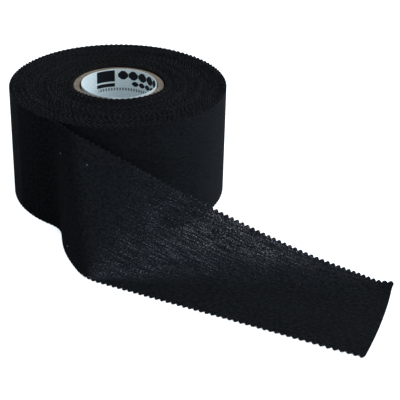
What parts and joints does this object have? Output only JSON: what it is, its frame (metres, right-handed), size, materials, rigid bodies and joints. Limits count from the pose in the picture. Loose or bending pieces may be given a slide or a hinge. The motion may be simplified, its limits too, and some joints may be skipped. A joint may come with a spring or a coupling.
{
  "type": "hand wrap tape roll",
  "caption": "Roll of black cotton hand-wrap tape on a card core, standing on one end face, with its pinked free end peeled off and laid flat.",
  "frame": {"origin": "middle of the whole part's bounding box, on the table, with the free end laid out as shown", "axes": "+Z along the roll's bore, up when the roll stands on its end face; -Y towards the side from which the peeled end is seen, with the end running to +X and -Y"},
  "size_m": [0.122, 0.1338, 0.038],
  "materials": {
    "tape_cloth": "matt black woven cotton, adhesive on the inner side",
    "core_card": "spirally wound kraft card",
    "label_paper": null
  },
  "bodies": {
    "roll": {"core": "core_card", "bore_label": "label_paper", "wound_tape": "tape_cloth", "outer_turn": "tape_cloth"},
    "peeled_strip": {"tail_peel": "tape_cloth"},
    "strip_middle": {"tail_mid": "tape_cloth"},
    "strip_end": {"tail_end": "tape_cloth"}
  },
  "joints": [
    {"name": "peel_hinge", "type": "hinge", "parent": "roll", "child": "peeled_strip", "pos_m": [-0.04215, -0.00146, 0.019], "axis": [0, 0, -1], "range_deg": [-4, 50]},
    {"name": "middle_fold", "type": "hinge", "parent": "peeled_strip", "child": "strip_middle", "pos_m": [0.00212, -0.0278, 0.00726], "axis": [-0.4351, -0.8174, -0.3775], "range_deg": [0, 35]},
    {"name": "end_fold", "type": "hinge", "parent": "strip_middle", "child": "strip_end", "pos_m": [0.02849, -0.03781, 0.0028], "axis": [-0.4198, -0.8987, -0.1269], "range_deg": [0, 60]}
  ]
}
